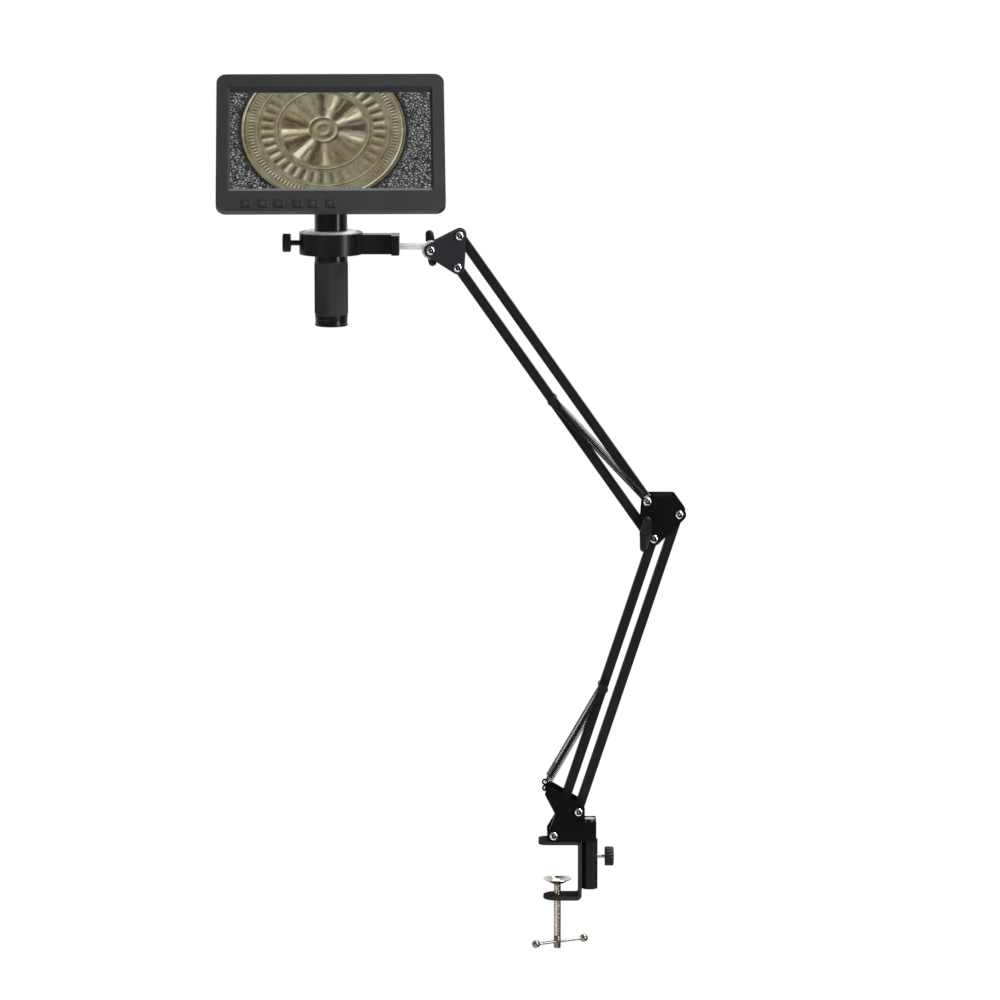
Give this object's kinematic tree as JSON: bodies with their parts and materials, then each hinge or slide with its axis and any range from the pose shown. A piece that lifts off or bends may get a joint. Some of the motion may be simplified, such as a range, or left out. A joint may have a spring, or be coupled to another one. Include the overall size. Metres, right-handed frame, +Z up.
{
  "type": "digital microscope with screen on a desk arm",
  "caption": "Digital microscope tube with a tilting screen, held in a ring on a spring-balanced double-bar desk arm with a screw clamp and swivel.",
  "frame": {"origin": "where the clamp screw's axis meets the underside of the upper jaw, which rests on the desk top", "axes": "+Z up, +X to the right as seen by the user who faces the screen, +Y away from the user"},
  "size_m": [0.5264, 0.1262, 0.9926],
  "materials": {
    "clamp_paint": "satin black powder coat",
    "bracket_paint": "semi-gloss black paint",
    "bar_paint": "satin black paint",
    "chrome": "bright plated steel",
    "zinc": "plain turned steel",
    "spring_steel": "blackened spring wire",
    "nylon": "natural nylon",
    "knob_black": "moulded black plastic",
    "anodised_black": "satin black anodised",
    "sleeve_aluminium": "fine turned bright aluminium",
    "tube_gloss": "gloss black",
    "grip_matte": "matte ribbed",
    "case_matte": "fine grained charcoal",
    "button_matte": "fine grained charcoal",
    "picture": "lit picture behind a gloss cover",
    "board_green": "solder mask",
    "sensor_dark": "dark sensor window",
    "lens_glass": "coated glass",
    "battery_wrap": "shrink wrap",
    "port_metal": "tinned sockets",
    "light_pipe": "clear light pipe"
  },
  "bodies": {
    "clamp": {"clamp_frame": "clamp_paint", "clamp_socket": "clamp_paint"},
    "pressure_pad": {"pressure_pad": "chrome"},
    "clamp_screw": {"clamp_screw": "chrome"},
    "tommy_bar": {"tommy_bar": "chrome"},
    "lock_knob": {"lock_knob_stud": "chrome", "lock_knob": "knob_black"},
    "turret": {"base_bracket": "bracket_paint", "swivel_pin": "zinc", "base_fasteners": "chrome", "base_spacers": "nylon"},
    "lower_front_bar": {"lower_front_bar": "bar_paint", "lower_spring_pin": "knob_black"},
    "lower_springs": {"lower_springs": "spring_steel"},
    "lower_spring_hooks": {"lower_spring_hooks": "spring_steel"},
    "lower_rear_bar": {"lower_rear_bar": "bar_paint"},
    "elbow": {"elbow_bracket": "bracket_paint", "elbow_fasteners": "chrome", "elbow_spacers": "nylon"},
    "elbow_wing_nut": {"elbow_wing_nut": "knob_black"},
    "upper_front_bar": {"upper_front_bar": "bar_paint", "upper_spring_pin": "knob_black", "upper_spring_legs": "spring_steel"},
    "upper_springs": {"upper_springs": "spring_steel"},
    "upper_rear_bar": {"upper_rear_bar": "bar_paint"},
    "head": {"head_plates": "bracket_paint", "head_fasteners": "chrome", "head_spacers": "nylon"},
    "head_wing_nut": {"head_wing_nut": "knob_black"},
    "holder": {"support_rod": "chrome", "ring_holder": "anodised_black"},
    "ring_thumbscrew": {"ring_thumbscrew": "anodised_black"},
    "sleeve": {"reducing_sleeve": "sleeve_aluminium"},
    "scope": {"tube_housing": "tube_gloss", "inner_barrel": "anodised_black", "sensor_board": "board_green", "image_sensor": "sensor_dark", "light_board": "board_green", "nose_ring": "tube_gloss", "nose_window": "lens_glass", "hinge_yoke": "anodised_black", "hinge_pin": "chrome"},
    "focus_ring": {"focus_ring": "grip_matte"},
    "lens_cell": {"lens_cell": "anodised_black", "objective_lens": "lens_glass"},
    "monitor": {"front_frame": "case_matte", "rear_cover": "case_matte", "picture_panel": "picture", "main_board": "board_green", "battery_pack": "battery_wrap", "button_board": "board_green", "case_screws": "chrome", "port_block": "port_metal", "status_light": "light_pipe"},
    "button_1": {"button_1": "button_matte"},
    "button_2": {"button_2": "button_matte"},
    "button_3": {"button_3": "button_matte"},
    "button_4": {"button_4": "button_matte"},
    "button_5": {"button_5": "button_matte"},
    "button_6": {"button_6": "button_matte"}
  },
  "joints": [
    {"name": "pad_travel", "type": "slide", "parent": "clamp", "child": "pressure_pad", "axis": [0, 0, 1], "range_m": [-0.01151, 0.04101]},
    {"name": "screw_turn", "type": "hinge", "parent": "pressure_pad", "child": "clamp_screw", "pos_m": [0, 0, 0], "axis": [0, 0, 1], "range_deg": [-3312, 11808]},
    {"name": "tommy_slide", "type": "slide", "parent": "clamp_screw", "child": "tommy_bar", "axis": [0.8829, 0.4695, 0], "range_m": [-0.0255, 0.0183]},
    {"name": "lock_knob_turn", "type": "hinge", "parent": "clamp", "child": "lock_knob", "pos_m": [0.0537, 0, -0.016], "axis": [1, 0, 0], "range_deg": [0, 720]},
    {"name": "base_swivel", "type": "hinge", "parent": "clamp", "child": "turret", "pos_m": [0.0366, 0, 0], "axis": [0, 0, 1], "continuous": true},
    {"name": "lower_arm", "type": "hinge", "parent": "turret", "child": "lower_front_bar", "pos_m": [-0.0044, 0, 0.01115], "axis": [0, -1, 0], "range_deg": [-10, 60]},
    {"name": "lower_spring_turn", "type": "hinge", "parent": "lower_front_bar", "child": "lower_springs", "pos_m": [0.0512, 0, 0.18024], "axis": [0, -1, 0], "range_deg": [-5, 25], "deforming": ["lower_springs"]},
    {"name": "lower_hook_turn", "type": "hinge", "parent": "turret", "child": "lower_spring_hooks", "pos_m": [-0.014, 0, 0.06665], "axis": [0, -1, 0], "range_deg": [-15, 85], "deforming": ["lower_spring_hooks"]},
    {"name": "lower_link", "type": "hinge", "parent": "turret", "child": "lower_rear_bar", "pos_m": [0.02382, 0, 0.03879], "axis": [0, -1, 0], "range_deg": [-10, 60]},
    {"name": "elbow_link", "type": "hinge", "parent": "lower_front_bar", "child": "elbow", "pos_m": [0.10788, 0, 0.35267], "axis": [0, -1, 0], "range_deg": [-60, 10]},
    {"name": "elbow_nut_turn", "type": "hinge", "parent": "elbow", "child": "elbow_wing_nut", "pos_m": [0.09818, -0.02, 0.35967], "axis": [0, -1, 0], "range_deg": [0, 720]},
    {"name": "upper_arm", "type": "hinge", "parent": "elbow", "child": "upper_front_bar", "pos_m": [0.09818, 0, 0.35967], "axis": [0, -1, 0], "range_deg": [-10, 60], "deforming": ["upper_spring_legs"]},
    {"name": "upper_spring_turn", "type": "hinge", "parent": "elbow", "child": "upper_springs", "pos_m": [0.10035, 0, 0.3951], "axis": [0, -1, 0], "range_deg": [-11, 64], "deforming": ["upper_springs"]},
    {"name": "upper_link", "type": "hinge", "parent": "elbow", "child": "upper_rear_bar", "pos_m": [0.10035, 0, 0.3951], "axis": [0, -1, 0], "range_deg": [-10, 60]},
    {"name": "head_link", "type": "hinge", "parent": "upper_front_bar", "child": "head", "pos_m": [-0.11239, 0, 0.65817], "axis": [0, -1, 0], "range_deg": [-60, 10]},
    {"name": "head_nut_turn", "type": "hinge", "parent": "head", "child": "head_wing_nut", "pos_m": [-0.14249, 0.014, 0.67727], "axis": [0, 1, 0], "range_deg": [0, 720]},
    {"name": "holder_tilt", "type": "hinge", "parent": "head", "child": "holder", "pos_m": [-0.14249, 0, 0.67727], "axis": [0, -1, 0], "range_deg": [-45, 60]},
    {"name": "ring_screw_turn", "type": "hinge", "parent": "holder", "child": "ring_thumbscrew", "pos_m": [-0.29889, 0, 0.68517], "axis": [-1, 0, 0], "range_deg": [0, 720]},
    {"name": "scope_swivel", "type": "hinge", "parent": "holder", "child": "sleeve", "pos_m": [-0.25389, 0, 0.68517], "axis": [0, 0, 1], "continuous": true},
    {"name": "scope_height", "type": "slide", "parent": "sleeve", "child": "scope", "axis": [0, 0, 1], "range_m": [-0.012, 0.006]},
    {"name": "focus_turn", "type": "hinge", "parent": "scope", "child": "focus_ring", "pos_m": [-0.25389, 0, 0.63517], "axis": [0, 0, 1], "range_deg": [-135, 135]},
    {"name": "focus_travel", "type": "slide", "parent": "scope", "child": "lens_cell", "axis": [0, 0, 1], "range_m": [-0.00801, 0.00801]},
    {"name": "screen_tilt", "type": "hinge", "parent": "scope", "child": "monitor", "pos_m": [-0.25367, -0.007, 0.74517], "axis": [0.9995, 0.0314, 0], "range_deg": [-42, 27]},
    {"name": "button_1_press", "type": "slide", "parent": "monitor", "child": "button_1", "axis": [-0.0249, 0.793, -0.6088], "range_m": [0, 0.0007], "stiffness_N_per_m": 600},
    {"name": "button_2_press", "type": "slide", "parent": "monitor", "child": "button_2", "axis": [-0.0249, 0.793, -0.6088], "range_m": [0, 0.0007], "stiffness_N_per_m": 600},
    {"name": "button_3_press", "type": "slide", "parent": "monitor", "child": "button_3", "axis": [-0.0249, 0.793, -0.6088], "range_m": [0, 0.0007], "stiffness_N_per_m": 600},
    {"name": "button_4_press", "type": "slide", "parent": "monitor", "child": "button_4", "axis": [-0.0249, 0.793, -0.6088], "range_m": [0, 0.0007], "stiffness_N_per_m": 600},
    {"name": "button_5_press", "type": "slide", "parent": "monitor", "child": "button_5", "axis": [-0.0249, 0.793, -0.6088], "range_m": [0, 0.0007], "stiffness_N_per_m": 600},
    {"name": "button_6_press", "type": "slide", "parent": "monitor", "child": "button_6", "axis": [-0.0249, 0.793, -0.6088], "range_m": [0, 0.0007], "stiffness_N_per_m": 600}
  ],
  "couplings": [
    {"joint": "pad_travel", "follows": "screw_turn", "m_per_rad": 0.00019894},
    {"joint": "lower_link", "follows": "lower_arm", "ratio": 1},
    {"joint": "elbow_link", "follows": "lower_arm", "ratio": -1},
    {"joint": "upper_link", "follows": "upper_arm", "ratio": 1},
    {"joint": "head_link", "follows": "upper_arm", "ratio": -1},
    {"joint": "lower_spring_turn", "follows": "lower_arm", "ratio": 0.4},
    {"joint": "lower_hook_turn", "follows": "lower_arm", "ratio": 1.4},
    {"joint": "upper_spring_turn", "follows": "upper_arm", "ratio": 1.05},
    {"joint": "focus_travel", "follows": "focus_turn", "m_per_rad": 0.0033953}
  ]
}
